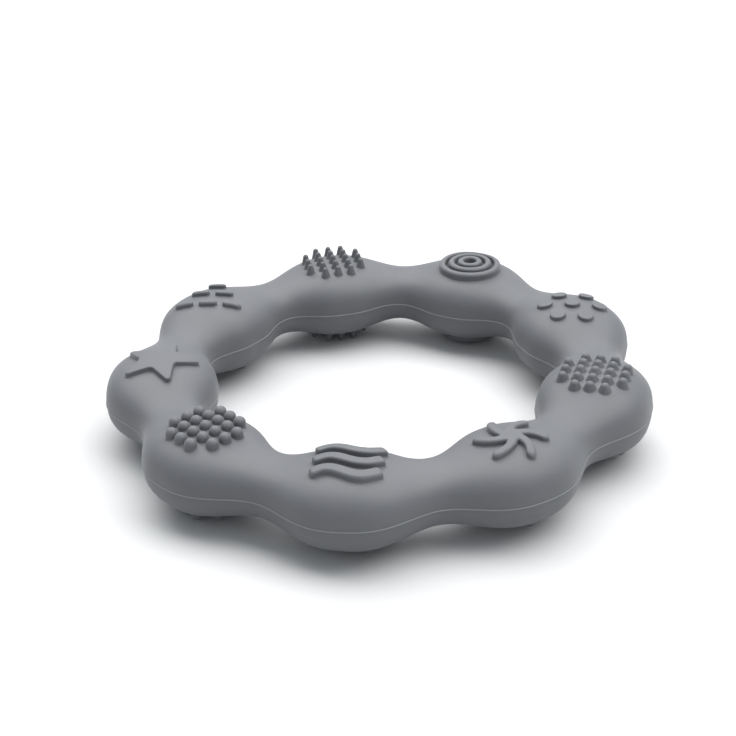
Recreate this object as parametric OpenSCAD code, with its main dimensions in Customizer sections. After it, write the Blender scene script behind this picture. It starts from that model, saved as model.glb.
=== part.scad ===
// Teething ring: a hollow silicone ring of nine soft lobes, bonded from an upper and a lower half,
// with a different raised relief on every lobe. Both halves carry the same nine reliefs.
// Frame: origin at the ring's centre on the plane it rests on, +Z up, -Y towards the wave lobe.

/* [Ring] */
// Radius of the circle through the middles of the lobes
ring_r = 43; // [42:0.5:46]
// Width of a lobe, across the ring's tube
lobe_w = 21.9; // [21:0.1:23]
// Thickness of a lobe, without its reliefs
lobe_t = 14.7; // [14:0.1:17]
// Width of the waist between two lobes
waist_w = 12.9; // [12:0.1:16]
// Thickness of the waist between two lobes
waist_t = 10.3; // [9.8:0.1:12]
// How far the tube's middle is pulled inwards at a waist
waist_pull = 0.7; // [0:0.1:1.5]

/* [Half shells] */
// Wall thickness of each half
wall = 3; // [2.6:0.1:3.2]
// Width of the locating tongue on the upper half's rims
tongue_w = 1.1; // [0.9:0.1:1.2]
// Height of the locating tongue
tongue_h = 0.8; // [0.5:0.1:1]
// Gap for adhesive around the tongue
tongue_gap = 0.05; // [0.02:0.01:0.1]
// Chamfer of the rims, filled by the seam bead
rim_chamfer = 0.5; // [0.3:0.1:0.6]
// How far the seam bead stands out of the ring
bead_proud = 0.2; // [0.1:0.05:0.3]

/* [Studded reliefs] */
// How far the tips of a lobe's other studs are levelled with the middle one, from 0 to 1
stud_level = 0.5; // [0:0.1:0.8]
// Spacing of the 21 round bumps
bump_pitch = 2.8; // [2.6:0.05:2.95]
// Diameter of a round bump
bump_d = 2.35; // [2.2:0.05:2.5]
// Height of the middle bump
bump_h = 1.45; // [1.45:0.05:1.7]
// Spacing of the 21 cones
cone_pitch = 2.85; // [2.7:0.05:2.95]
// Diameter of a cone at its foot
cone_d = 2.4; // [2.3:0.05:2.55]
// Diameter of a cone's rounded tip
cone_tip_d = 1.8; // [1.5:0.1:2]
// Height of the middle cone
cone_h = 1.3; // [1.15:0.05:1.5]
// Spacing of the 21 pins
pin_pitch = 2.8; // [2.6:0.05:2.9]
// Diameter of a pin at its foot
pin_d = 1.9; // [1.7:0.05:2.1]
// Diameter of a pin's rounded tip
pin_tip_d = 1.1; // [0.9:0.1:1.4]
// Height of the middle pin
pin_h = 1.8; // [1.5:0.05:1.9]

/* [Raised reliefs] */
// Radius of the star to its tips
star_r = 8.2; // [7:0.1:8.4]
// Radius of the star to its inner corners
star_inner_r = 3.8; // [3:0.1:4.2]
// Height of the star
star_h = 1; // [0.6:0.1:1.2]
// Length of a wave ridge, one full wave
wave_len = 12.6; // [11:0.1:13]
// Sideways swing of the waves
wave_swing = 1.2; // [0.8:0.1:1.6]
// Spacing of the three waves
wave_pitch = 3.8; // [3.6:0.05:4]
// Width of a wave ridge
wave_w = 2.1; // [1.8:0.1:2.3]
// Height of a wave ridge
wave_h = 1.2; // [0.8:0.1:1.3]
// Radius of the pinwheel to the ends of its arms
wheel_r = 6.6; // [6:0.1:7]
// Radius of the pinwheel's hub
hub_r = 1.95; // [1.85:0.05:2.4]
// Width of a pinwheel arm
arm_w = 1.7; // [1.4:0.1:1.9]
// Height of the pinwheel
wheel_h = 1.1; // [0.6:0.1:1.3]
// Diameter of a dot
dot_d = 3.2; // [3:0.1:3.6]
// Height of a dot
dot_h = 0.8; // [0.5:0.1:1.1]
// Radius of the circle of six dots around the middle one
dot_ring_r = 5.6; // [5.3:0.05:6]
// Spacing of the three concentric ribs
rib_pitch = 2; // [1.8:0.05:2.2]
// Width of a concentric rib
rib_w = 1.4; // [1.1:0.1:1.6]
// Height of a concentric rib
rib_h = 1.45; // [1:0.05:1.5]
// Length of a dash
dash_len = 3.9; // [3.6:0.1:4.2]
// Width of a dash
dash_w = 1.5; // [1.2:0.1:1.8]
// Height of a dash
dash_h = 1; // [0.5:0.1:1.2]
// Spacing of the dashes along a row
dash_pitch = 5.1; // [4.7:0.1:5.3]
// Spacing of the three rows of dashes
dash_row_pitch = 4.7; // [4.2:0.1:4.8]

/* [Hidden] */

silicone = [0.58, 0.59, 0.61];
seam = [0.66, 0.67, 0.69];

// Lobes, numbered counter-clockwise from above
lobes = 9;
lobe_pitch = 360 / lobes;
first_lobe_at = 190;
STAR = 0;
BUMPS = 1;
WAVES = 2;
PINWHEEL = 3;
CONES = 4;
DOTS = 5;
RIBS = 6;
PINS = 7;
DASHES = 8;

// Shape of the tube: how square its section is, and how fully a lobe keeps its width and thickness
squareness = 2.55;
width_fill = 1.45;
thick_fill = 1.15;

// Sections along each lobe, and facets over the outside and inside of a half
lobe_steps = 10;
sections = lobes * lobe_steps;
outer_steps = 12;
inner_steps = 8;

// The moulded relief panel of a lobe: its thickness, and how many sections and facets it keeps
// its full thickness on before it runs out to nothing
panel_t = 1.4;
panel_sections = 2;
panel_facets = 3;

// How far each relief sits counter-clockwise and outwards of its lobe's middle
relief_ahead = [0, 0, 0.1, 0, 0.35, 0.5, -0.3, 0, 0.3];
relief_out = [-0.1, -0.3, -0.15, 0.15, 0, 0.7, 0.5, 0.8, 1];
// How deep the studs and the other features are rooted in their panel
stud_root = 0.7;
root = 0.5;
// Turn of a stud about its own axis, which keeps its seam off the facets' edges
stud_turn = 11;

// In-plane turns of the reliefs that aren't square to their lobe
star_turn = -16;
wave_turn = -6.5;
wheel_turn = 36;
dash_turn = 60;
// How far the end of a pinwheel arm is swung round by its bend
arm_bend = 50;
// How far along its length a wave starts, and how far each wave is set back from the one inside it
wave_lead = 0.7;
wave_stagger = 0.4;

// The ring stands on its tallest studs
mid_z = lobe_t / 2 + max(bump_h, cone_h, pin_h);
fine = 32;

// ---- shape of the tube ----

function lobe_angle(k) = first_lobe_at + lobe_pitch * k;

function section_angle(i) = first_lobe_at + 360 / sections * i;

// 1 in the middle of a lobe, 0 in the middle of a waist
function swell(a, fill) = 1 - pow((1 - cos(lobes * (a - first_lobe_at))) / 2, fill);

function half_w(a) = (waist_w + (lobe_w - waist_w) * swell(a, width_fill)) / 2;

function half_t(a) = (waist_t + (lobe_t - waist_t) * swell(a, thick_fill)) / 2;

function mid_r(a) = ring_r - waist_pull * (1 - swell(a, width_fill));

function bow(x) = sign(x) * pow(abs(x), 2 / squareness);

// Point at parameter p of the tube's rounded section, as [outward, up] from the tube's middle
function arch(w, t, p) = [w * bow(cos(p)), t * bow(sin(p))];

// Places a section point in the ring, at plan angle a
function in_ring(a, q) = [(mid_r(a) + q[0]) * cos(a), (mid_r(a) + q[0]) * sin(a), q[1]];

// Sections between this one and the middle of the nearest lobe
function from_lobe(i) = abs((i + lobe_steps * (lobes + 0.5)) % lobe_steps - lobe_steps / 2);

function panel_depth(i, j) =
    from_lobe(i) <= panel_sections && abs(j - outer_steps / 2) <= panel_facets ? panel_t : 0;

// Point j over the outside of section i, lowered by depth
function outer_point(i, j, depth) =
    let (a = section_angle(i), p = 180 * j / outer_steps)
    arch(half_w(a) - depth, half_t(a) - depth, p);

// ---- closed solids from rows of points ----

// Triangles of a strip between rows of n points; last is the number of the last row
function strip(n, from_row, to_row, rows) = [
    for (i = [from_row:to_row])
        for (j = [0:n - 1])
            let (
                a = i * n + j,
                b = i * n + (j + 1) % n,
                c = ((i + 1) % rows) * n + (j + 1) % n,
                d = ((i + 1) % rows) * n + j
            )
            each [[a, b, c], [a, c, d]]
];

// A ring-shaped solid: outlines that follow each other and close on the first one
module loop_solid(outlines) {
    n = len(outlines[0]);
    rows = len(outlines);
    polyhedron(
        points = [for (o = outlines) each o],
        faces = strip(n, 0, rows - 1, rows)
    );
}

// A bar-shaped solid: outlines that follow each other, with both ends capped
module bar_solid(outlines) {
    n = len(outlines[0]);
    rows = len(outlines);
    last = (rows - 1) * n;
    polyhedron(
        points = [for (o = outlines) each o],
        faces = concat(
            strip(n, 0, rows - 2, rows),
            [for (j = [1:n - 2]) [0, j + 1, j]],
            [for (j = [1:n - 2]) [last, last + j, last + j + 1]]
        )
    );
}

// ---- half shells and seam ----

// Rim of a half, from its outer edge to its cavity, as [inward, up]
function rim(tongue) =
    let (
        gap = tongue ? 0 : tongue_gap,
        from = (wall - tongue_w) / 2 + rim_chamfer / 2 - gap,
        to = from + tongue_w + 2 * gap,
        tip = tongue ? -tongue_h : tongue_h + gap
    )
    [[rim_chamfer, 0], [from, 0], [from, tip], [to, tip], [to, 0], [wall, 0]];

// Outline of one half at section i, as [outward, up]
function half_outline(i, tongue) =
    let (
        a = section_angle(i),
        w = half_w(a),
        t = half_t(a),
        edge = rim(tongue),
        last = len(edge) - 1
    )
    concat(
        [[w, rim_chamfer]],
        [for (j = [1:outer_steps - 1]) outer_point(i, j, panel_depth(i, j))],
        [[-w, rim_chamfer]],
        [for (e = edge) [-w + e[0], e[1]]],
        [for (j = [inner_steps - 1:-1:1]) arch(w - wall, t - wall, 180 * j / inner_steps)],
        [for (n = [last:-1:0]) [w - edge[n][0], edge[n][1]]]
    );

module half_shell(tongue) {
    loop_solid([
        for (i = [0:sections - 1])
            [for (q = half_outline(i, tongue)) in_ring(section_angle(i), q)]
    ]);
}

// Bead that fills the notch between the two rims; side is 1 outside the ring and -1 inside it
module seam_bead(side) {
    c = rim_chamfer;
    notch = [[-c, 0], [0, -c], [bead_proud, -c / 2], [bead_proud, c / 2], [0, c]];
    outline = side > 0 ? notch : [for (n = [len(notch) - 1:-1:0]) notch[n]];
    loop_solid([
        for (i = [0:sections - 1])
            let (a = section_angle(i))
            [for (q = outline) in_ring(a, [side * (half_w(a) + q[0]), q[1]])]
    ]);
}

// ---- relief panels, face to face with the half shells ----

module panel(k) {
    rows = panel_sections + 1;
    cols = panel_facets + 1;
    n = 2 * cols + 1;
    count = (2 * rows + 1) * n;
    mid = outer_steps / 2;
    grid = [for (i = [-rows:rows]) for (j = [-cols:cols]) [k * lobe_steps + i, mid + j]];
    top = [for (g = grid) in_ring(section_angle(g[0]), outer_point(g[0], g[1], 0))];
    low = [
        for (g = grid)
            in_ring(section_angle(g[0]), outer_point(g[0], g[1], panel_depth(g[0], g[1])))
    ];
    // Along the panel's edge the two sides share their points
    function on_edge(id) =
        let (i = floor(id / n), j = id % n)
        i == 0 || i == 2 * rows || j == 0 || j == n - 1;
    function under(id) = on_edge(id) ? id : id + count;
    faces = [
        for (i = [0:2 * rows - 1])
            for (j = [0:n - 2])
                let (a = i * n + j, b = a + 1, c = a + n + 1, d = a + n)
                for (f = [[a, b, c], [a, c, d]])
                    // A face with all its points on the edge would have no thickness
                    if (!(on_edge(f[0]) && on_edge(f[1]) && on_edge(f[2]))) f
    ];
    polyhedron(
        points = concat(top, low),
        faces = concat(faces, [for (f = faces) [under(f[0]), under(f[2]), under(f[1])]])
    );
}

// ---- places on a lobe ----

// A place q is [counter-clockwise, outward] in millimetres from the middle of the lobe's relief
function turned(q, a) = [q[0] * cos(a) - q[1] * sin(a), q[0] * sin(a) + q[1] * cos(a)];

function polar(r, a) = [r * cos(a), r * sin(a)];

// Point of the ring's skin at a place on lobe k
function skin(k, q) =
    let (
        to = turned([ring_r + relief_out[k] + q[1], relief_ahead[k] + q[0]], lobe_angle(k)),
        a = atan2(to[1], to[0]),
        x = min(abs(norm(to) - mid_r(a)) / half_w(a), 1)
    )
    [to[0], to[1], half_t(a) * pow(1 - pow(x, squareness), 1 / squareness)];

// The reliefs are raised straight up, the way the halves leave their mould
function above_skin(k, q, h) = skin(k, q) + [0, 0, h];

// ---- relief features ----

// Round-topped section of a ridge, as [sideways, up]
function ridge_section(w, h) = [
    [-w / 2, -root], [-w / 2, 0.35 * h], [-0.3 * w, 0.85 * h], [0, h],
    [0.3 * w, 0.85 * h], [w / 2, 0.35 * h], [w / 2, -root]
];

function ridge_row(k, place, heading, w, h) =
    let (side = [heading[1], -heading[0]] / norm(heading))
    [for (p = ridge_section(w, h)) above_skin(k, place + side * p[0], p[1])];

// A ridge along a path of places, a little narrower and lower at its ends
module ridge(k, path, w, h) {
    last = len(path) - 1;
    bar_solid([
        for (i = [0:last])
            let (
                heading = path[min(i + 1, last)] - path[max(i - 1, 0)],
                end = i == 0 || i == last ? 0.6 : 1
            )
            ridge_row(k, path[i], heading, w * end, h * (1 + end) / 2)
    ]);
}

// A ridge around a circle
module round_ridge(k, r, w, h) {
    steps = 4 * ceil(r * 1.1) + 6;
    loop_solid([
        for (i = [0:steps - 1])
            let (a = 360 * i / steps)
            ridge_row(k, polar(r, a), polar(1, a + 90), w, h)
    ]);
}

// Triangles of a cap that fans out from the centre of an outline of n points
function fan(n) = [for (i = [0:n - 1]) [n, i, (i + 1) % n]];

// A flat-topped feature that follows the skin, with an outline of places about its centre;
// cap holds the triangles of its top, in which the centre is the point after the outline's last one
module plateau(k, centre, outline, h, cap) {
    n = len(outline);
    up = n + 1;
    places = concat(outline, [[0, 0]]);
    polyhedron(
        points = concat(
            [for (q = places) above_skin(k, centre + q, -root)],
            [for (q = places) above_skin(k, centre + q, h)]
        ),
        faces = concat(
            [
                for (i = [0:n - 1])
                    let (j = (i + 1) % n)
                    each [[i, up + j, up + i], [i, j, up + j]]
            ],
            [for (f = cap) [f[0], f[2], f[1]]],
            [for (f = cap) f + [up, up, up]]
        )
    );
}

module round_plateau(k, centre, r, h) {
    sides = 24;
    plateau(k, centre, [for (i = [0:sides - 1]) polar(r, 360 * i / sides)], h, fan(sides));
}

// An upright post that tapers from foot_d at the skin to a domed tip
module domed_post(foot_d, tip_d, h) {
    r = tip_d / 2;
    foot = [[0, -stud_root], [foot_d / 2, -stud_root], [foot_d / 2, 0]];
    dome = [for (a = [0:18:90]) [r * cos(a), h - r + r * sin(a)]];
    rotate(stud_turn)
        rotate_extrude($fn = fine)
            polygon(concat(foot, dome));
}

// The 21 studs of a studded relief: a square of five by five without its corners
module studs(k, pitch, foot_d, tip_d, h) {
    places = [
        for (i = [-2:2])
            for (j = [-2:2])
                if (abs(i) + abs(j) < 4) [i, j] * pitch
    ];
    top = skin(k, [0, 0])[2];
    for (q = places)
        let (foot = skin(k, q))
            translate(foot) domed_post(foot_d, tip_d, h + stud_level * (top - foot[2]));
}

// ---- the nine reliefs ----

module star_relief() {
    tip_half_angle = 4;
    tip_cut = 0.5;
    outline = [
        for (i = [0:4])
            let (a = star_turn + 72 * i)
            each [
                polar(star_r - tip_cut, a - tip_half_angle),
                polar(star_r, a),
                polar(star_r - tip_cut, a + tip_half_angle),
                polar(star_inner_r, a + 36)
            ]
    ];
    panel(STAR);
    plateau(STAR, [0, 0], outline, star_h, fan(len(outline)));
}

module bumps_relief() {
    panel(BUMPS);
    studs(BUMPS, bump_pitch, bump_d, bump_d, bump_h);
}

module waves_relief() {
    steps = 14;
    panel(WAVES);
    for (row = [-1:1])
        ridge(WAVES, [
            for (i = [0:steps])
                let (
                    x = wave_len * (i / steps - 0.5),
                    swing = wave_swing * sin(360 * (x + wave_lead) / wave_len)
                )
                turned([x - row * wave_stagger, row * wave_pitch + swing], wave_turn)
        ], wave_w, wave_h);
}

// Moves a place [along, across] of a straight pinwheel arm to where it is once the arm is bent to an
// even curve; places halfway to the next arm, half_pitch away, are only swung round
function bent(q, half_pitch) =
    let (
        bend = arm_bend * q[0] / wheel_r,
        tilt = bend * (1 - pow(atan2(q[1], q[0]) / half_pitch, 2))
    )
    turned([q[0] - q[1] * sin(tilt), q[1] * cos(tilt)], wheel_turn - arm_bend + bend);

module pinwheel_relief() {
    arms = 6;
    half_pitch = 180 / arms;
    steps = 5;
    half_arm = arm_w / 2;
    from = hub_r + 0.3;
    to = wheel_r - half_arm;
    // One side of a straight arm, as [distance from the centre, distance from its middle line]
    side = concat(
        [for (i = [0:steps]) [from + (to - from) * i / steps, half_arm]],
        [[wheel_r - 0.3 * half_arm, 0.75 * half_arm], [wheel_r, 0.3 * half_arm]]
    );
    last = len(side) - 1;
    n = 2 * len(side) + 1;
    hub = arms * n;
    arm_outline = concat(
        [for (q = side) [q[0], -q[1]]],
        [for (i = [last:-1:0]) side[i]],
        [polar(hub_r, half_pitch)]
    );
    outline = [
        for (arm = [0:arms - 1])
            for (q = arm_outline) turned(bent(q, half_pitch), 2 * half_pitch * arm)
    ];
    cap = [
        for (a = [0:n:hub - 1])
            let (b = a + n - 2)
            each concat(
                [[hub, a, b], [hub, b, b + 1], [hub, b + 1, (b + 2) % hub]],
                [for (i = [0:last - 1]) each [[a + i, a + i + 1, b - i - 1], [a + i, b - i - 1, b - i]]]
            )
    ];
    panel(PINWHEEL);
    plateau(PINWHEEL, [0, 0], outline, wheel_h, cap);
}

module cones_relief() {
    panel(CONES);
    studs(CONES, cone_pitch, cone_d, cone_tip_d, cone_h);
}

module dots_relief() {
    panel(DOTS);
    for (q = concat([[0, 0]], [for (i = [0:5]) polar(dot_ring_r, 60 * i)]))
        round_plateau(DOTS, q, dot_d / 2, dot_h);
}

module ribs_relief() {
    panel(RIBS);
    for (i = [1:3]) round_ridge(RIBS, rib_pitch * i, rib_w, rib_h);
}

module pins_relief() {
    panel(PINS);
    studs(PINS, pin_pitch, pin_d, pin_tip_d, pin_h);
}

module dashes_relief() {
    rows = 3;
    // The rows of three, two and one dashes are centred together on the lobe
    middle_row = 2 / 3;
    panel(DASHES);
    for (row = [0:rows - 1])
        for (i = [0:rows - 1 - row])
            let (x = dash_pitch * (i - (rows - 1 - row) / 2), y = dash_row_pitch * (row - middle_row))
            ridge(DASHES, [
                for (e = [-0.5, -0.3, 0.3, 0.5])
                    turned([x + dash_len * e, y], dash_turn)
            ], dash_w, dash_h);
}

// ---- nodes: everything above is drawn about the ring's middle plane ----

module upper() {
    translate([0, 0, mid_z]) children();
}

module lower() {
    translate([0, 0, mid_z]) mirror([0, 0, 1]) children();
}

module upper_shell() { color(silicone) upper() half_shell(true); }
module lower_shell() { color(silicone) lower() half_shell(false); }
module outer_seam_bead() { color(seam) upper() seam_bead(1); }
module inner_seam_bead() { color(seam) upper() seam_bead(-1); }
module upper_star() { color(silicone) upper() star_relief(); }
module upper_bumps() { color(silicone) upper() bumps_relief(); }
module upper_waves() { color(silicone) upper() waves_relief(); }
module upper_pinwheel() { color(silicone) upper() pinwheel_relief(); }
module upper_cones() { color(silicone) upper() cones_relief(); }
module upper_dots() { color(silicone) upper() dots_relief(); }
module upper_ribs() { color(silicone) upper() ribs_relief(); }
module upper_pins() { color(silicone) upper() pins_relief(); }
module upper_dashes() { color(silicone) upper() dashes_relief(); }
module lower_star() { color(silicone) lower() star_relief(); }
module lower_bumps() { color(silicone) lower() bumps_relief(); }
module lower_waves() { color(silicone) lower() waves_relief(); }
module lower_pinwheel() { color(silicone) lower() pinwheel_relief(); }
module lower_cones() { color(silicone) lower() cones_relief(); }
module lower_dots() { color(silicone) lower() dots_relief(); }
module lower_ribs() { color(silicone) lower() ribs_relief(); }
module lower_pins() { color(silicone) lower() pins_relief(); }
module lower_dashes() { color(silicone) lower() dashes_relief(); }

upper_shell();
lower_shell();
outer_seam_bead();
inner_seam_bead();
upper_star();
upper_bumps();
upper_waves();
upper_pinwheel();
upper_cones();
upper_dots();
upper_ribs();
upper_pins();
upper_dashes();
lower_star();
lower_bumps();
lower_waves();
lower_pinwheel();
lower_cones();
lower_dots();
lower_ribs();
lower_pins();
lower_dashes();
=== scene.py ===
"""Looks of the teething ring: a smooth silicone ring of nine lobes with a raised relief on each lobe.

Sizes are in millimetres and angles in degrees until a mesh is made, and the CAD model's are repeated here.
"""
import math

import bmesh
import bpy
import numpy as np
from mathutils import Matrix, Vector


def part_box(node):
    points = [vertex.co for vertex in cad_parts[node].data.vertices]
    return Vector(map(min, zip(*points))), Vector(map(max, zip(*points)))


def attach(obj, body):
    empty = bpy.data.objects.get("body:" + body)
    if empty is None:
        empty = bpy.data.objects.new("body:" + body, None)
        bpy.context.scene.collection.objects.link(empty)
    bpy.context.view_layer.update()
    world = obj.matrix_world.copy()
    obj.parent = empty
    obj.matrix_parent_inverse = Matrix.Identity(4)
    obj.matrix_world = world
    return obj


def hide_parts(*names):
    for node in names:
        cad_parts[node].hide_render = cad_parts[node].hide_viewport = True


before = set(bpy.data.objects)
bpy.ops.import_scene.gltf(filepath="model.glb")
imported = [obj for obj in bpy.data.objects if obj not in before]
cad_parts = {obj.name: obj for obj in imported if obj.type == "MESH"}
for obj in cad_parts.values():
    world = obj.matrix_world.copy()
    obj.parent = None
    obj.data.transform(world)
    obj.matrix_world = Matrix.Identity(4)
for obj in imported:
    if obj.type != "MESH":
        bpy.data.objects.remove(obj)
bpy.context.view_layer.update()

MM = 0.001

# The ring's tube, as in the CAD model
LOBES = 9
FIRST_LOBE_AT = 190
RING_R = 43.0
LOBE_W = 21.9
LOBE_T = 14.7
WAIST_W = 12.9
WAIST_T = 10.3
WAIST_PULL = 0.7
WALL = 3.0
SQUARENESS = 2.55
WIDTH_FILL = 1.45
THICK_FILL = 1.15
# Height of the plane where the two halves meet
MID_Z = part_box("lower_shell")[1].z / MM

# The lobes, numbered counter-clockwise from above
STAR, BUMPS, WAVES, PINWHEEL, CONES, DOTS, RIBS, PINS, DASHES = range(LOBES)
# How far each relief sits counter-clockwise and outwards of its lobe's middle
RELIEF_AHEAD = (0, 0, 0.1, 0, 0.35, 0.5, -0.3, 0, 0.3)
RELIEF_OUT = (-0.1, -0.3, -0.15, 0.15, 0, 0.7, 0.5, 0.8, 1)

# Studded reliefs: the height is that of the middle stud, and the others' tips are partly levelled with it
STUD_LEVEL = 0.5
BUMP_PITCH, BUMP_R, BUMP_TIP_R, BUMP_H = 2.8, 1.17, 1.15, 1.45
CONE_PITCH, CONE_FOOT_R, CONE_TIP_R, CONE_H = 2.85, 1.2, 0.9, 1.3
PIN_PITCH, PIN_FOOT_R, PIN_TIP_R, PIN_H = 2.8, 0.95, 0.55, 1.8

# Raised reliefs. The star's sharp corners lie a little beyond its rounded tips.
STAR_R, STAR_INNER_R, STAR_H, STAR_TURN = 8.2, 3.8, 1.0, -16
STAR_TIP_ROUND, STAR_NOOK_ROUND, STAR_TIP_CUT = 0.6, 1.0, 0.5
WAVE_LEN, WAVE_SWING, WAVE_LEAD, WAVE_PITCH, WAVE_STAGGER = 12.6, 1.2, 0.7, 3.8, 0.4
WAVE_W, WAVE_H, WAVE_TURN, WAVE_END_SQUARENESS = 2.1, 1.2, -6.5, 4.0
WHEEL_R, HUB_R, ARM_W, WHEEL_H, WHEEL_TURN, ARM_BEND = 6.6, 1.95, 1.7, 1.1, 36, 50
# Angle between arms, radius where an arm has left the hub, and rounding of the hub, nooks and arm ends
ARM_PITCH, ARM_FOOT_AT = 60, 3.4
HUB_ROUND, ARM_NOOK_ROUND, ARM_END_ROUND = 0.3, 1.5, 0.8
DOT_R, DOT_H, DOT_RING_R, DOT_PITCH = 1.6, 0.8, 5.6, 60
RIB_PITCH, RIB_W, RIB_H = 2.0, 1.3, 1.45
DASH_LEN, DASH_W, DASH_H = 3.9, 1.4, 1.0
DASH_PITCH, DASH_ROW_PITCH, DASH_TURN = 5.1, 4.7, 60

# Rounding of the top edges of features, and of their feet where they meet the skin
STAR_EDGE, WAVE_EDGE, WHEEL_EDGE, DOT_EDGE, RIB_EDGE, DASH_EDGE = 0.25, 0.45, 0.5, 0.25, 0.5, 0.5
FOOT_FILLET, SMALL_FOOT_FILLET = 0.2, 0.15

# The seam: rounding of the rims, and half the height and the proudness of the bead between them
RIM_R = 0.14
BEAD_PROUD = 0.12

# How deep features are rooted under the skin, how far their foot spreads there, and where that starts
ROOT = 0.5
SKIRT = 0.12
SKIRT_DEPTH = 0.02

# How finely the meshes are divided
SECTIONS = 720
STUD_FACETS = 32
DOT_FACETS = 48
RIB_FACETS = 96
SIDE_PARTS = 5


# ---- shape of the tube ----

def lobe_angle(lobe):
    return FIRST_LOBE_AT + 360 / LOBES * lobe


def swell(angle, fill):
    """1 in the middle of a lobe, 0 in the middle of a waist."""
    return 1 - ((1 - np.cos(np.radians(LOBES * (angle - FIRST_LOBE_AT)))) / 2) ** fill


def half_width(angle):
    return (WAIST_W + (LOBE_W - WAIST_W) * swell(angle, WIDTH_FILL)) / 2


def half_thickness(angle):
    return (WAIST_T + (LOBE_T - WAIST_T) * swell(angle, THICK_FILL)) / 2


def middle_radius(angle):
    return RING_R - WAIST_PULL * (1 - swell(angle, WIDTH_FILL))


def bow(x):
    return np.sign(x) * np.abs(x) ** (2 / SQUARENESS)


def skin(lobe, places):
    """Points of the upper skin at places: [counter-clockwise, outward] from the middle of the relief."""
    middle = math.radians(lobe_angle(lobe))
    ahead = RELIEF_AHEAD[lobe] + places[..., 0]
    out = RING_R + RELIEF_OUT[lobe] + places[..., 1]
    x = out * math.cos(middle) - ahead * math.sin(middle)
    y = out * math.sin(middle) + ahead * math.cos(middle)
    angle = np.degrees(np.arctan2(y, x))
    share = np.minimum(np.abs(np.hypot(x, y) - middle_radius(angle)) / half_width(angle), 1)
    height = half_thickness(angle) * (1 - share ** SQUARENESS) ** (1 / SQUARENESS)
    return np.stack([x, y, height], -1)


def lift(lobe, places, height):
    """Points straight above the skin, because reliefs rise the way the halves leave their mould."""
    return skin(lobe, places) + [0, 0, height]


# ---- meshes made of loops of points ----

class Piece:
    """Collects closed meshes, in millimetres about the ring's middle plane, for one object."""

    def __init__(self):
        self.points = []
        self.faces = []
        self.count = 0

    def add(self, loops, ring=False):
        """Joins each loop to the next, and the last one to the first if they form a ring."""
        loops = np.asarray(loops)
        rows, n = loops.shape[:2]
        ids = np.arange(rows * n).reshape(rows, n) + self.count
        low = ids if ring else ids[:-1]
        high = np.roll(ids, -1, 0) if ring else ids[1:]
        quads = np.stack([low, np.roll(low, -1, 1), np.roll(high, -1, 1), high], -1)
        self.points.append(loops.reshape(-1, 3))
        self.faces.append(quads.reshape(-1, 4))
        self.count += rows * n

    def mesh(self, name, upside_down):
        points = np.concatenate(self.points)
        if upside_down:
            points = points * [1, 1, -1]
        points = (points + [0, 0, MID_Z]) * MM
        mesh = bpy.data.meshes.new(name)
        mesh.from_pydata(points.tolist(), [], np.concatenate(self.faces).tolist())
        work = bmesh.new()
        work.from_mesh(mesh)
        bmesh.ops.remove_doubles(work, verts=work.verts, dist=1e-7)
        bmesh.ops.recalc_face_normals(work, faces=work.faces)
        work.to_mesh(mesh)
        work.free()
        mesh.polygons.foreach_set("use_smooth", [True] * len(mesh.polygons))
        mesh.update()
        return mesh


def place_piece(piece, name, node, material, upside_down=False):
    """Makes the piece an object that stands for its CAD node."""
    obj = bpy.data.objects.new(name, piece.mesh(name, upside_down))
    obj.data.materials.append(material)
    bpy.context.scene.collection.objects.link(obj)
    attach(obj, "root")
    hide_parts(node)
    return obj


def arc(centre, radius, start, end, steps):
    angles = np.radians(np.linspace(start, end, steps + 1))
    return np.stack([centre[0] + radius * np.cos(angles), centre[1] + radius * np.sin(angles)], -1)


def edge_profile(height, top_r, foot_r):
    """From under the skin up a filleted foot and over a rounded top edge, as [outward of the edge, up]."""
    foot = arc((foot_r, foot_r), foot_r, 270, 180, 6)
    top = arc((-top_r, height - top_r), top_r, 0, 90, 8)
    under = [[foot_r + SKIRT, -ROOT], [foot_r + SKIRT, -SKIRT_DEPTH]]
    return np.concatenate([under, foot, top])


def turned(places, angle):
    c, s = math.cos(math.radians(angle)), math.sin(math.radians(angle))
    return np.asarray(places) @ np.array([[c, s], [-s, c]])


def polar(radius, angle):
    return np.stack([radius * np.cos(np.radians(angle)), radius * np.sin(np.radians(angle))], -1)


# ---- relief features ----

def add_stroke(piece, lobe, path, width, height, top_r, foot_r, end_squareness=2.0):
    """A ridge along a path of places, with rounded ends."""
    path = np.asarray(path, float)
    heading = np.gradient(path, axis=0)
    heading /= np.linalg.norm(heading, axis=1, keepdims=True)
    side = heading @ np.array([[0, 1], [-1, 0]])
    turn = np.radians(np.linspace(90, -90, 15)[1:-1])
    reach = (np.abs(np.cos(turn)) ** end_squareness + np.abs(np.sin(turn)) ** end_squareness)
    reach = reach ** (-1 / end_squareness)
    cap = np.stack([reach * np.cos(turn), reach * np.sin(turn)], -1)
    far_cap = cap[:, :1] * heading[-1] + cap[:, 1:] * side[-1]
    near_cap = -(cap[:, :1] * heading[0] + cap[:, 1:] * side[0])
    spine = np.concatenate([
        path, np.repeat(path[-1:], len(cap), 0), path[::-1], np.repeat(path[:1], len(cap), 0)
    ])
    outward = np.concatenate([side, far_cap, -side[::-1], near_cap])
    profile = edge_profile(height, top_r, foot_r) + [width / 2, 0]
    profile = np.concatenate([[[0, -ROOT]], profile, [[0, height]]])
    piece.add([lift(lobe, spine + outward * out, up) for out, up in profile])


def add_round_ridge(piece, lobe, radius, width, height, top_r, foot_r):
    """A ridge around a circle of places."""
    outer = edge_profile(height, top_r, foot_r) + [width / 2, 0]
    section = np.concatenate([outer, outer[::-1] * [-1, 1]])
    around = np.linspace(0, 360, RIB_FACETS + 1)[:-1]
    piece.add([
        np.concatenate([lift(lobe, polar(radius + out, np.array([a])), up) for out, up in section])
        for a in around
    ], ring=True)


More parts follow.
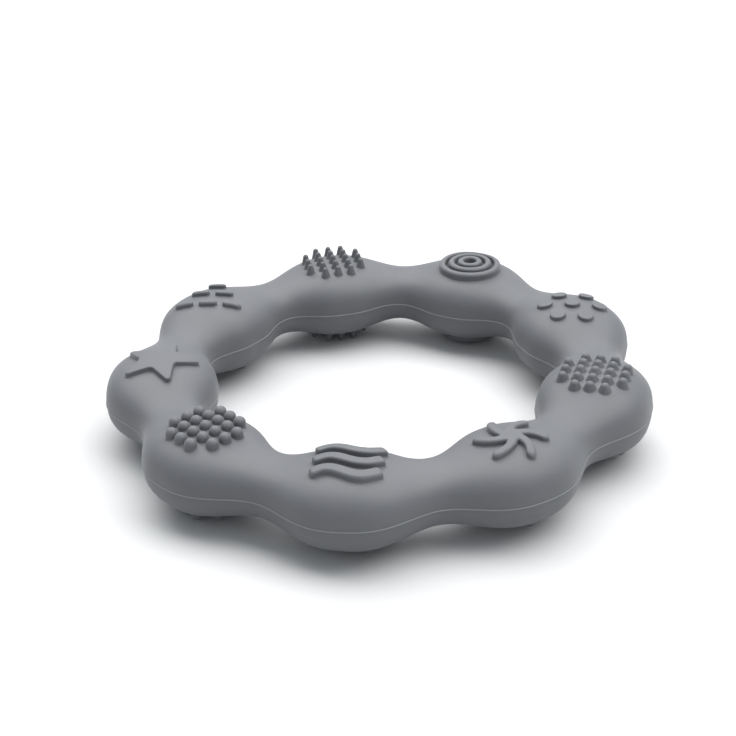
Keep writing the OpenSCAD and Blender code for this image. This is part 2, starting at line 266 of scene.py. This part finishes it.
def add_plateau(piece, lobe, outline, normals, centre, height, top_r, foot_r, warp=np.asarray):
    """A flat-topped feature with a closed outline about its centre; warp moves its places at the end."""
    profile = edge_profile(height, top_r, foot_r)
    inside = outline + normals * profile[-1, 0]
    loops = [(outline * 0, -ROOT)]
    loops += [(outline + normals * out, up) for out, up in profile]
    loops += [(inside * share, height) for share in np.linspace(0.9, 0, 10)]
    piece.add([lift(lobe, centre + warp(places), up) for places, up in loops])


def post_profile(foot_radius, tip_radius):
    """Profile of a post with a filleted foot and a domed tip, as a function of its height."""
    foot_middle = foot_radius + SMALL_FOOT_FILLET
    spread = foot_middle + SKIRT

    def profile(height):
        steep = math.degrees(math.atan2(foot_radius - tip_radius, height - tip_radius))
        return np.concatenate([
            [[0, -ROOT], [spread, -ROOT], [spread, -SKIRT_DEPTH]],
            arc((foot_middle, SMALL_FOOT_FILLET), SMALL_FOOT_FILLET, 270, 180 + steep, 5),
            arc((0, height - tip_radius), tip_radius, steep, 90, 10),
        ])

    return profile


def add_stud(piece, lobe, place, middle_height, profile):
    """A round upright stud, with its foot following the skin; profile gives [radius, up] for a height."""
    centre_z = skin(lobe, place)[2]
    height = middle_height + STUD_LEVEL * (skin(lobe, np.zeros(2))[2] - centre_z)
    ring = polar(1, np.linspace(0, 360, STUD_FACETS + 1)[:-1])
    loops = []
    for radius, up in profile(height):
        loop = lift(lobe, place + ring * radius, up)
        level = min(max(up, 0) / (0.5 * height), 1)
        loop[:, 2] += level * (centre_z + up - loop[:, 2])
        loops.append(loop)
    piece.add(loops)


def rounded_outline(corners, radii, steps=6):
    """Points and outward normals of a polygon, counter-clockwise, with every corner rounded."""
    points, normals = [], []
    count = len(corners)
    for i in range(count):
        before, here, after = corners[i - 1], corners[i], corners[(i + 1) % count]
        arrive = (here - before) / np.linalg.norm(here - before)
        leave = (after - here) / np.linalg.norm(after - here)
        bend = math.atan2(arrive[0] * leave[1] - arrive[1] * leave[0], arrive @ leave)
        sign = 1 if bend > 0 else -1
        cut = radii[i] * math.tan(abs(bend) / 2)
        start_normal = np.array([arrive[1], -arrive[0]])
        centre = here - arrive * cut - sign * radii[i] * start_normal
        for share in np.linspace(0, 1, steps + 1):
            a = bend * share
            normal = turned(start_normal, math.degrees(a))
            points.append(centre + sign * radii[i] * normal)
            normals.append(normal)
    return np.array(points), np.array(normals)


def add_studs(piece, lobe, pitch, middle_height, profile):
    """The 21 studs of a studded relief: a square of five by five without its corners."""
    for i in range(-2, 3):
        for j in range(-2, 3):
            if abs(i) + abs(j) < 4:
                add_stud(piece, lobe, np.array([i, j]) * pitch, middle_height, profile)


# ---- the nine reliefs ----

def star_relief(piece):
    angles = STAR_TURN + 36 * np.arange(10)
    corners = polar(np.where(np.arange(10) % 2, STAR_INNER_R, STAR_R + STAR_TIP_CUT), angles)
    outline, normals = rounded_outline(corners, [STAR_TIP_ROUND, STAR_NOOK_ROUND] * 5)
    add_plateau(piece, STAR, outline, normals, np.zeros(2), STAR_H, STAR_EDGE, FOOT_FILLET)


def bumps_relief(piece):
    add_studs(piece, BUMPS, BUMP_PITCH, BUMP_H, post_profile(BUMP_R, BUMP_TIP_R))


def cones_relief(piece):
    add_studs(piece, CONES, CONE_PITCH, CONE_H, post_profile(CONE_FOOT_R, CONE_TIP_R))


def pins_relief(piece):
    add_studs(piece, PINS, PIN_PITCH, PIN_H, post_profile(PIN_FOOT_R, PIN_TIP_R))


def waves_relief(piece):
    x = np.linspace(-0.5, 0.5, 49) * (WAVE_LEN - WAVE_W)
    for row in (-1, 0, 1):
        y = row * WAVE_PITCH + WAVE_SWING * np.sin(2 * math.pi * (x + WAVE_LEAD) / WAVE_LEN)
        path = turned(np.stack([x - row * WAVE_STAGGER, y], -1), WAVE_TURN)
        add_stroke(piece, WAVES, path, WAVE_W, WAVE_H, WAVE_EDGE, FOOT_FILLET, WAVE_END_SQUARENESS)


def bent(places):
    """Moves a straight pinwheel's places to where they are once its arms are bent to even curves."""
    radius = np.hypot(places[:, 0], places[:, 1])
    angle = np.degrees(np.arctan2(places[:, 1], places[:, 0]))
    arm = ARM_PITCH * np.round(angle / ARM_PITCH)
    along, across = polar(radius, angle - arm).T
    bend = ARM_BEND * along / WHEEL_R
    tilt = np.radians(bend * (1 - ((angle - arm) / (ARM_PITCH / 2)) ** 2))
    along = along - across * np.sin(tilt)
    across = across * np.cos(tilt)
    turn = np.radians(WHEEL_TURN - ARM_BEND + arm + bend)
    return np.stack([
        along * np.cos(turn) - across * np.sin(turn), along * np.sin(turn) + across * np.cos(turn)
    ], -1)


def subdivided(loop, parts):
    """Splits each side of a closed loop into equal parts."""
    side = np.roll(loop, -1, 0) - loop
    return np.stack([loop + side * i / parts for i in range(parts)], 1).reshape(-1, 2)


def pinwheel_relief(piece):
    half_w = ARM_W / 2
    arm = [
        polar(HUB_R, -ARM_PITCH / 2), [ARM_FOOT_AT, -half_w], [WHEEL_R, -half_w],
        [WHEEL_R, half_w], [ARM_FOOT_AT, half_w],
    ]
    rounding = [HUB_ROUND, ARM_NOOK_ROUND, ARM_END_ROUND, ARM_END_ROUND, ARM_NOOK_ROUND]
    corners = np.concatenate([turned(arm, ARM_PITCH * i) for i in range(6)])
    outline, normals = rounded_outline(corners, rounding * 6)
    add_plateau(
        piece, PINWHEEL, subdivided(outline, SIDE_PARTS), subdivided(normals, SIDE_PARTS), np.zeros(2),
        WHEEL_H, WHEEL_EDGE, FOOT_FILLET, bent,
    )


def dots_relief(piece):
    angles = np.linspace(0, 360, DOT_FACETS + 1)[:-1]
    centres = [np.zeros(2)] + [polar(DOT_RING_R, DOT_PITCH * i) for i in range(6)]
    for centre in centres:
        add_plateau(
            piece, DOTS, polar(DOT_R, angles), polar(1, angles), centre,
            DOT_H, DOT_EDGE, SMALL_FOOT_FILLET,
        )


def ribs_relief(piece):
    for i in (1, 2, 3):
        add_round_ridge(piece, RIBS, RIB_PITCH * i, RIB_W, RIB_H, RIB_EDGE, FOOT_FILLET)


def dashes_relief(piece):
    for row in range(3):
        count = 3 - row
        for i in range(count):
            middle = np.array([DASH_PITCH * (i - (count - 1) / 2), DASH_ROW_PITCH * (row - 2 / 3)])
            x = np.linspace(-0.5, 0.5, 9) * (DASH_LEN - DASH_W)
            path = turned(middle + np.stack([x, 0 * x], -1), DASH_TURN)
            add_stroke(piece, DASHES, path, DASH_W, DASH_H, DASH_EDGE, FOOT_FILLET)


RELIEFS = {
    "star": star_relief, "bumps": bumps_relief, "waves": waves_relief,
    "pinwheel": pinwheel_relief, "cones": cones_relief, "dots": dots_relief,
    "ribs": ribs_relief, "pins": pins_relief, "dashes": dashes_relief,
}


# ---- half shells and seam ----

def in_ring(angle, outline):
    """Places a section's outline, as [outward, up] from the tube's middle, at an angle of the ring."""
    radius = middle_radius(angle) + outline[:, 0]
    turn = math.radians(angle)
    return np.stack([radius * math.cos(turn), radius * math.sin(turn), outline[:, 1]], -1)


def half_outline(angle):
    """Outline of a half shell: over the outside, round the rims and back under the cavity's roof."""
    w, t = half_width(angle), half_thickness(angle)
    first = math.asin((RIM_R / t) ** (SQUARENESS / 2))
    over = np.linspace(first, math.pi - first, 73)[1:-1]
    inside = np.linspace(math.pi, 0, 25)
    rim = arc((w - RIM_R, RIM_R), RIM_R, 270, 360, 5)
    return np.concatenate([
        rim,
        np.stack([w * bow(np.cos(over)), t * bow(np.sin(over))], -1),
        rim[::-1] * [-1, 1],
        np.stack([(w - WALL) * bow(np.cos(inside)), (t - WALL) * bow(np.sin(inside))], -1),
    ])


def shell():
    piece = Piece()
    piece.add([
        in_ring(a, half_outline(a)) for a in np.linspace(0, 360, SECTIONS + 1)[:-1]
    ], ring=True)
    return piece


def seam_bead(side):
    """Bead between the rims: side is 1 outside the ring and -1 inside it."""
    bulge = arc((0, 0), 1, -90, 90, 10) * [BEAD_PROUD, RIM_R]
    root = arc((-RIM_R, RIM_R), RIM_R, 0, -90, 5)[1:]
    outline = np.concatenate([bulge, root, (root * [1, -1])[-2::-1]])
    piece = Piece()
    piece.add([
        in_ring(a, (outline + [half_width(a), 0]) * [side, 1])
        for a in np.linspace(0, 360, SECTIONS + 1)[:-1]
    ], ring=True)
    return piece


# ---- materials ----

def silicone_material(name, light, dark, roughness):
    """Matte silicone: slight unevenness of colour and polish, and a fine grain from the mould."""
    material = bpy.data.materials.new(name)
    material.use_nodes = True
    nodes, links = material.node_tree.nodes, material.node_tree.links
    shader = nodes["Principled BSDF"]
    shader.inputs["Subsurface Weight"].default_value = 0.12
    shader.inputs["Subsurface Radius"].default_value = (1.0, 1.0, 1.0)
    shader.inputs["Subsurface Scale"].default_value = 0.0012
    shader.inputs["IOR"].default_value = 1.41
    shader.inputs["Sheen Weight"].default_value = 0.08
    shader.inputs["Sheen Roughness"].default_value = 0.4
    coordinates = nodes.new("ShaderNodeTexCoord")

    def noise(scale, detail):
        node = nodes.new("ShaderNodeTexNoise")
        node.inputs["Scale"].default_value = scale
        node.inputs["Detail"].default_value = detail
        links.new(coordinates.outputs["Object"], node.inputs["Vector"])
        return node.outputs["Fac"]

    tint = nodes.new("ShaderNodeValToRGB")
    tint.color_ramp.elements[0].position = 0.35
    tint.color_ramp.elements[0].color = (*dark, 1)
    tint.color_ramp.elements[1].position = 0.65
    tint.color_ramp.elements[1].color = (*light, 1)
    links.new(noise(60, 3), tint.inputs["Fac"])
    links.new(tint.outputs["Color"], shader.inputs["Base Color"])

    polish = nodes.new("ShaderNodeMapRange")
    polish.inputs["To Min"].default_value = roughness - 0.06
    polish.inputs["To Max"].default_value = roughness + 0.06
    links.new(noise(180, 4), polish.inputs["Value"])
    links.new(polish.outputs["Result"], shader.inputs["Roughness"])

    grain = nodes.new("ShaderNodeBump")
    grain.inputs["Strength"].default_value = 0.25
    grain.inputs["Distance"].default_value = 0.00003
    links.new(noise(2200, 2), grain.inputs["Height"])
    links.new(grain.outputs["Normal"], shader.inputs["Normal"])
    return material


def floor_material():
    material = bpy.data.materials.new("pale_floor")
    material.use_nodes = True
    shader = material.node_tree.nodes["Principled BSDF"]
    shader.inputs["Base Color"].default_value = (0.6, 0.6, 0.6, 1)
    shader.inputs["Roughness"].default_value = 0.7
    shader.inputs["Specular IOR Level"].default_value = 0.2
    return material


# ---- floor, light and camera ----

def make_floor():
    size = 6.0
    mesh = bpy.data.meshes.new("floor")
    corners = [(-size, -size, 0), (size, -size, 0), (size, size, 0), (-size, size, 0)]
    mesh.from_pydata(corners, [], [(0, 1, 2, 3)])
    floor = bpy.data.objects.new("floor", mesh)
    floor.data.materials.append(floor_material())
    bpy.context.scene.collection.objects.link(floor)


def make_area_light(name, place, aim, size, power):
    light = bpy.data.lights.new(name, "AREA")
    light.shape = "RECTANGLE"
    light.size, light.size_y = size
    light.energy = power
    obj = bpy.data.objects.new(name, light)
    obj.location = place
    obj.rotation_euler = (Vector(place) - Vector(aim)).to_track_quat("Z", "Y").to_euler()
    bpy.context.scene.collection.objects.link(obj)


def make_lights():
    middle = (0, 0, 0)
    make_area_light("overhead_softbox", (0.1, 0.27, 1.05), middle, (2.8, 0.95), 33.5)
    make_area_light("back_softbox", (0.1, 1.3, 0.9), middle, (1.4, 0.6), 5)
    world = bpy.data.worlds.new("studio")
    world.use_nodes = True
    world.node_tree.nodes["Background"].inputs["Color"].default_value = (0.9, 0.95, 1.0, 1)
    world.node_tree.nodes["Background"].inputs["Strength"].default_value = 0.6
    bpy.context.scene.world = world
    bpy.context.scene.view_settings.view_transform = "Standard"


CAMERA_AZIMUTH = 8.39
CAMERA_ELEVATION = 27.71
CAMERA_DISTANCE = 0.3272
CAMERA_ROLL = 2.33
CAMERA_LENS = 79.1
# Point the camera looks at, beside the ring's centre on its middle plane
CAMERA_AIM = (-0.00299, 0.00591)


def make_camera():
    azimuth, elevation = math.radians(CAMERA_AZIMUTH), math.radians(CAMERA_ELEVATION)
    back = Vector((
        math.sin(azimuth) * math.cos(elevation),
        -math.cos(azimuth) * math.cos(elevation),
        math.sin(elevation),
    ))
    aim = Vector((*CAMERA_AIM, MID_Z * MM))
    level = Vector((0, 0, 1)).cross(back).normalized()
    rotation = Matrix((level, back.cross(level), back)).transposed().to_4x4()
    rotation = rotation @ Matrix.Rotation(math.radians(-CAMERA_ROLL), 4, "Z")
    data = bpy.data.cameras.new("camera")
    data.lens = CAMERA_LENS
    data.clip_start = 0.01
    camera = bpy.data.objects.new("camera", data)
    camera.matrix_world = Matrix.Translation(aim + back * CAMERA_DISTANCE) @ rotation
    bpy.context.scene.collection.objects.link(camera)
    bpy.context.scene.camera = camera


# ---- the scene ----

silicone = silicone_material("silicone", (0.121, 0.124, 0.132), (0.115, 0.118, 0.126), 0.52)
# The seam beads are the same silicone as the shells, but nearly twice as light and a little more polished:
# the lighter colour is a painted highlight along the raised seam.
seam_highlight_silicone = silicone_material("seam_painted_highlight", (0.205, 0.21, 0.217), (0.195, 0.2, 0.207), 0.45)

for half, upside_down in (("upper", False), ("lower", True)):
    place_piece(shell(), half + "_half", half + "_shell", silicone, upside_down)
    for name, build in RELIEFS.items():
        relief = Piece()
        build(relief)
        place_piece(
            relief, half + "_" + name + "_relief", half + "_" + name, silicone, upside_down
        )
# Both beads wear the lighter silicone, which paints a highlight along the seam.
place_piece(seam_bead(1), "outer_bead", "outer_seam_bead", seam_highlight_silicone)
place_piece(seam_bead(-1), "inner_bead", "inner_seam_bead", seam_highlight_silicone)

make_floor()
make_lights()
make_camera()
